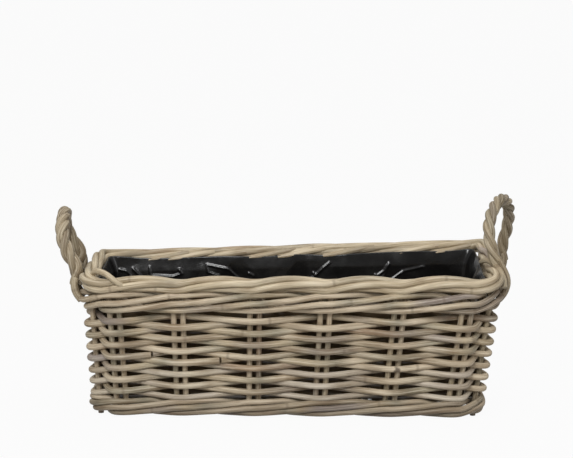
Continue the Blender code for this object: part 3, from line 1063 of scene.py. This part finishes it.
@dataclass
class Liner:
    """The crumpled film tub inside the basket."""

    wall: WallForm
    finish: bpy.types.Material
    wall_inset: float = 0.0125
    end_flare: float = 0.0060
    back_flare: float = 0.0006
    floor_level: float = 0.0206
    seen_level: float = 0.1180
    fold_level: float = 0.1480
    top_level: float = 0.1635
    top_wander: float = 0.0026
    corner_radius: float = 0.0080
    corner_lift: float = 0.0050
    corner_steps: int = 8
    thickness: float = 0.0004
    dent_depth: float = 0.0036
    dent_size: float = 0.085
    dent_seed: int = 3
    bend_size: float = 0.08
    bend_reach: float = 0.020
    ridge_size: float = 0.045
    ridge_sharpness: float = 6.0
    wander_size: float = 0.06
    top_calm: float = 0.7
    foot_rise: float = 0.02
    floor_gap: float = 0.004
    fine_step: float = 0.0011
    side_counts: tuple[int, ...] = (120, 50, 410, 50)
    lower_rings: int = 10
    floor_rings: int = 5
    fold_height: float = 0.0013
    fold_width: float = 0.0012
    fold_shift: Place = (0.0065, 0.0034)
    folds: tuple[tuple[Place, ...], ...] = (
        ((-0.2209, 0.1473), (-0.2120, 0.1460), (-0.2070, 0.1415), (-0.2063, 0.1382)),
        ((-0.2032, 0.1485), (-0.1930, 0.1389)),
        ((-0.1823, 0.1505), (-0.1817, 0.1405), (-0.1526, 0.1395), (-0.1418, 0.1434), (-0.1450, 0.1485)),
        ((-0.0640, 0.1326), (-0.0735, 0.1405), (-0.0830, 0.1492), (-0.1101, 0.1544), (-0.1090, 0.1453),
         (-0.0944, 0.1405)),
        ((-0.0571, 0.1444), (-0.0514, 0.1415), (-0.0539, 0.1365)),
        ((0.0452, 0.1592), (0.0192, 0.1346)),
        ((0.0250, 0.1453), (0.0271, 0.1405)),
        ((0.0963, 0.1365), (0.1136, 0.1485), (0.1203, 0.1583), (0.1097, 0.1326)),
        ((0.1030, 0.1440), (0.1097, 0.1400)),
        ((0.1637, 0.1544), (0.1384, 0.1485), (0.1169, 0.1326)),
    )

    def outline(self, level: float, inset: float) -> list[tuple[Vector, Vector]]:
        """Places round the tub at a height, each with the direction away from the wall.

        Args:
            level: Height.
            inset: Distance inside the stakes' centres.
        Returns:
            The places and directions.
        """
        half = self.wall.half_length(level) - inset
        reach = self.wall.half_width(level) - inset
        radius = min(self.corner_radius, reach * 0.98)
        outward, forward = Vector((0, -1, 0)), Vector((1, 0, 0))
        up = Vector((0, 0, level))
        places = []
        for count in self.side_counts:
            for index in range(count):
                offset = (2 * index / count - 1) * (half - radius)
                places.append((outward * reach + forward * offset + up, -outward))
            centre = outward * (reach - radius) + forward * (half - radius)
            for index in range(self.corner_steps):
                angle = math.pi / 2 * index / self.corner_steps
                direction = outward * math.cos(angle) + forward * math.sin(angle)
                places.append((centre + direction * radius + up, -direction))
            outward, forward = forward, -outward
            half, reach = reach, half
        return places

    def fold(self, spot: Vector) -> float:
        """Height of the film's sharp folds at a place on the back wall."""
        nearest = 1.0
        for line in self.folds:
            for start, end in zip(line, line[1:]):
                run = Vector(end) - Vector(start)
                apart = spot - Vector(start)
                share = min(1.0, max(0.0, apart.dot(run) / run.length_squared))
                nearest = min(nearest, (apart - run * share).length)
        return self.fold_height * math.exp(-(nearest / self.fold_width) ** 2)

    def pushed(self, point: Vector, inward: Vector, share: float) -> Point:
        """Move a point of the film in from the wall, where the film is dented and folded.

        Args:
            point: Point of the smooth tub.
            inward: Direction away from the wall.
            share: How much of the full depth applies there.
        Returns:
            The moved point, in the set basket.
        """
        bent = point + noise.noise_vector(point / self.bend_size) * self.bend_reach
        depth = self.dent_depth * (0.5 + 0.5 * noise.noise(bent / self.dent_size))
        place = Vector(self.wall.settled(*point))
        if point.y > 0 and point.z > self.seen_level:
            depth += self.fold(Vector((place.x, place.z)) - Vector(self.fold_shift))
        else:
            crease = abs(noise.noise(bent / self.ridge_size + Vector((7, 3, 1))))
            ridge = 1 - min(1.0, crease * self.ridge_sharpness)
            depth += 2 * self.fold_height * ridge ** 2
        high = max(0.0, (point.z - self.fold_level) / (self.top_level - self.fold_level))
        flare = self.back_flare + (self.end_flare - self.back_flare) * (1 - inward.y ** 2)
        depth = depth * (1 - self.top_calm * high) - flare * high ** 1.5 / max(share, 0.01)
        lift = self.top_wander * noise.noise(point / self.wander_size) * high
        if point.y > 0:
            lift += self.corner_lift * high * max(0.0, 5 * abs(point.x) / self.wall.half_length(point.z) - 4)
        return tuple(place + inward * depth * share + Vector((0, 0, lift)))

    def build(self) -> None:
        """Make the film and let it stand for the liner."""
        noise.seed_set(self.dent_seed)  # noise_vector would start from the clock
        upper_rings = round((self.top_level - self.seen_level) / self.fine_step)
        lower_step = (self.seen_level - self.floor_level) / self.lower_rings
        levels = [self.floor_level + lower_step * ring for ring in range(self.lower_rings)]
        levels += [self.seen_level + self.fine_step * ring for ring in range(upper_rings + 1)]
        mesh = bmesh.new()
        rings = []
        floor_reach = self.wall.half_width(self.floor_level) - self.wall_inset - self.floor_gap
        for ring in range(self.floor_rings, 0, -1):
            places = self.outline(self.floor_level, self.wall_inset + floor_reach * ring / self.floor_rings)
            rings.append([mesh.verts.new(self.wall.settled(*place)) for place, _ in places])
        for level in levels:
            share = min(1.0, (level - self.floor_level) / self.foot_rise)
            places = self.outline(level, self.wall_inset)
            rings.append([mesh.verts.new(self.pushed(place, inward, share)) for place, inward in places])
        for lower, upper in zip(rings, rings[1:]):
            for index in range(len(lower)):
                after = (index + 1) % len(lower)
                mesh.faces.new((lower[index], lower[after], upper[after], upper[index]))
        mesh.faces.new(rings[0])
        bmesh.ops.recalc_face_normals(mesh, faces=mesh.faces)
        for face in mesh.faces:
            face.smooth = True
        data = bpy.data.meshes.new("film_liner_film")
        mesh.to_mesh(data)
        mesh.free()
        data.materials.append(self.finish)
        film = new_object("film_liner_film", data)
        shell = film.modifiers.new("film", "SOLIDIFY")
        shell.thickness = self.thickness
        shell.offset = 0.0
        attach(film, "root")
        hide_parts("film_liner")
        log.info("liner: film tub")


@dataclass
class Studio:
    """Floor, light and camera."""

    paper: bpy.types.Material
    target: Point = (0.0, 0.0, 0.12)
    elevation: float = math.radians(12.5)
    distance: float = 2.094
    focal_pixels: float = 1704.0
    image_width: float = 573.0
    target_right_pixels: float = 2.6
    target_down_pixels: float = 77.9
    roll: float = math.radians(0.4)

    def build_floor(self) -> None:
        """Lay the floor."""
        data = bpy.data.meshes.new("studio_floor")
        mesh = bmesh.new()
        bmesh.ops.create_grid(mesh, x_segments=2, y_segments=2, size=40.0)
        mesh.to_mesh(data)
        mesh.free()
        data.materials.append(self.paper)
        new_object("studio_floor", data)

    def build_world(self) -> None:
        """Fill the room with soft light, white where the camera sees it."""
        world = bpy.data.worlds.new("studio")
        world.use_nodes = True
        world.node_tree.nodes.clear()
        node = partial(add_node, world.node_tree)
        where = node("ShaderNodeTexCoord")
        parts = node("ShaderNodeSeparateXYZ", {0: where.outputs["Generated"]})
        room = node("ShaderNodeMapRange", {0: parts.outputs["Z"], 1: -0.1, 2: 0.9, 3: 0.16, 4: 0.62},
            interpolation_type="SMOOTHSTEP")
        rays = node("ShaderNodeLightPath")
        seen = node("ShaderNodeMath", {0: rays.outputs["Is Camera Ray"], 1: rays.outputs["Is Transmission Ray"]},
            operation="MAXIMUM")
        level = node("ShaderNodeMapRange", {0: seen, 3: room, 4: 1.0})
        fill = node("ShaderNodeBackground", {"Color": (1.0, 1.0, 1.0, 1.0), "Strength": level})
        node("ShaderNodeOutputWorld", {"Surface": fill})
        bpy.context.scene.world = world

    def add_lamp(self, name: str, place: Point, size: float, power: float) -> None:
        """Add one soft lamp that points at the basket.

        Args:
            name: The lamp's name.
            place: Where it hangs.
            size: Side of its square face.
            power: Its power in watts.
        """
        data = bpy.data.lights.new(name, "AREA")
        data.shape = "SQUARE"
        data.size = size
        data.energy = power
        lamp = new_object(name, data)
        lamp.location = place
        aim = Vector(self.target) - Vector(place)
        lamp.rotation_euler = aim.to_track_quat("-Z", "Y").to_euler()

    def build_camera(self) -> None:
        """Set the camera at the photograph's angle."""
        data = bpy.data.cameras.new("camera")
        data.sensor_width = 36.0
        data.lens = self.focal_pixels / self.image_width * data.sensor_width
        data.clip_end = 120.0
        camera = new_object("camera", data)
        back = Vector((0, -math.cos(self.elevation), math.sin(self.elevation)))
        camera.location = Vector(self.target) + back * self.distance
        pitch = math.pi / 2 - self.elevation + math.atan(self.target_down_pixels / self.focal_pixels)
        yaw = math.atan(self.target_right_pixels / self.focal_pixels)
        level_view = Euler((pitch, 0.0, yaw)).to_quaternion()
        camera.rotation_euler = (level_view @ Quaternion((0, 0, 1), self.roll)).to_euler()
        bpy.context.scene.camera = camera

    def build(self) -> None:
        """Set up the studio."""
        self.build_floor()
        self.build_world()
        self.add_lamp("key", (-0.6, -2.0, 1.6), 1.0, 36.0)
        self.add_lamp("fill", (1.6, -1.4, 1.0), 1.2, 5.5)
        self.add_lamp("top", (0.0, 0.3, 2.0), 1.2, 8.5)
        self.build_camera()
        bpy.context.scene.view_settings.view_transform = "Standard"
        log.info("studio: floor, lamps and camera")


def main() -> None:
    """Build the basket's looks and the studio."""
    straw = CaneFinish("#7A6750", ("#A18567", "#877A6C", "#B09F84", "#CFBEA4", "#918974", "#BFAE90", "#978C87"))
    border_straw = CaneFinish("#7C694F", ("#A68D6D", "#A5987F", "#B8A788", "#C8B89B", "#AA9E86", "#BDAB8B",
        "#AD9F94"))
    handle_straw = CaneFinish("#5C4B38", ("#917F62", "#857865", "#9A8A6F", "#A7987C", "#887D64"))
    pale_straw = CaneFinish("#8F806B", ("#BBAC96", "#D2C8B7", "#B3A696", "#CBBEA6", "#C6BEB2"))
    looks = {Use.BORDER: border_straw, Use.HANDLE: handle_straw, Use.PALE_ROW: pale_straw}
    finishes = {use: looks.get(use, straw).build(f"weathered_rattan_{use.value[0]}") for use in Use}
    wall = WallForm()
    sweep = CaneSweep(wall, finishes)
    Base(wall, sweep).build()
    Stakes(wall, sweep).build()
    Wale(wall, sweep, "bottom_wale", 0.0143, 0.0034, 0.0070, belly=0.0028, bulge=0.0036).build()
    Wale(wall, sweep, "top_wale", 0.1436, 0.0036, 0.0092).build()
    WovenRows(wall, sweep).build()
    border = Border(wall, sweep)
    border.build()
    on_top = (0.0050, 0.1773)
    close_in = (0.0145, 0.1567)
    far_out = (0.0215, 0.1567)
    Handle(border, "handle_left", -1, (close_in, far_out), rise=0.0570, lean=0.0165, skew_share=0.02,
        cane_radius=0.0046, twist_radius=0.0042, roundness=0.65).build()
    Handle(border, "handle_right", 1, (on_top, far_out), rise=0.0665, lean=-0.0028, skew_share=0.32,
        cane_radius=0.0039, twist_radius=0.0039, roundness=1.0).build()
    Liner(wall, FilmFinish().build("black_polythene_film")).build()
    Studio(PaperFinish().build("white_paper")).build()
    log.info("pieces: %d", len(sweep.made) + 1)


if __name__ == "__main__":
    main()
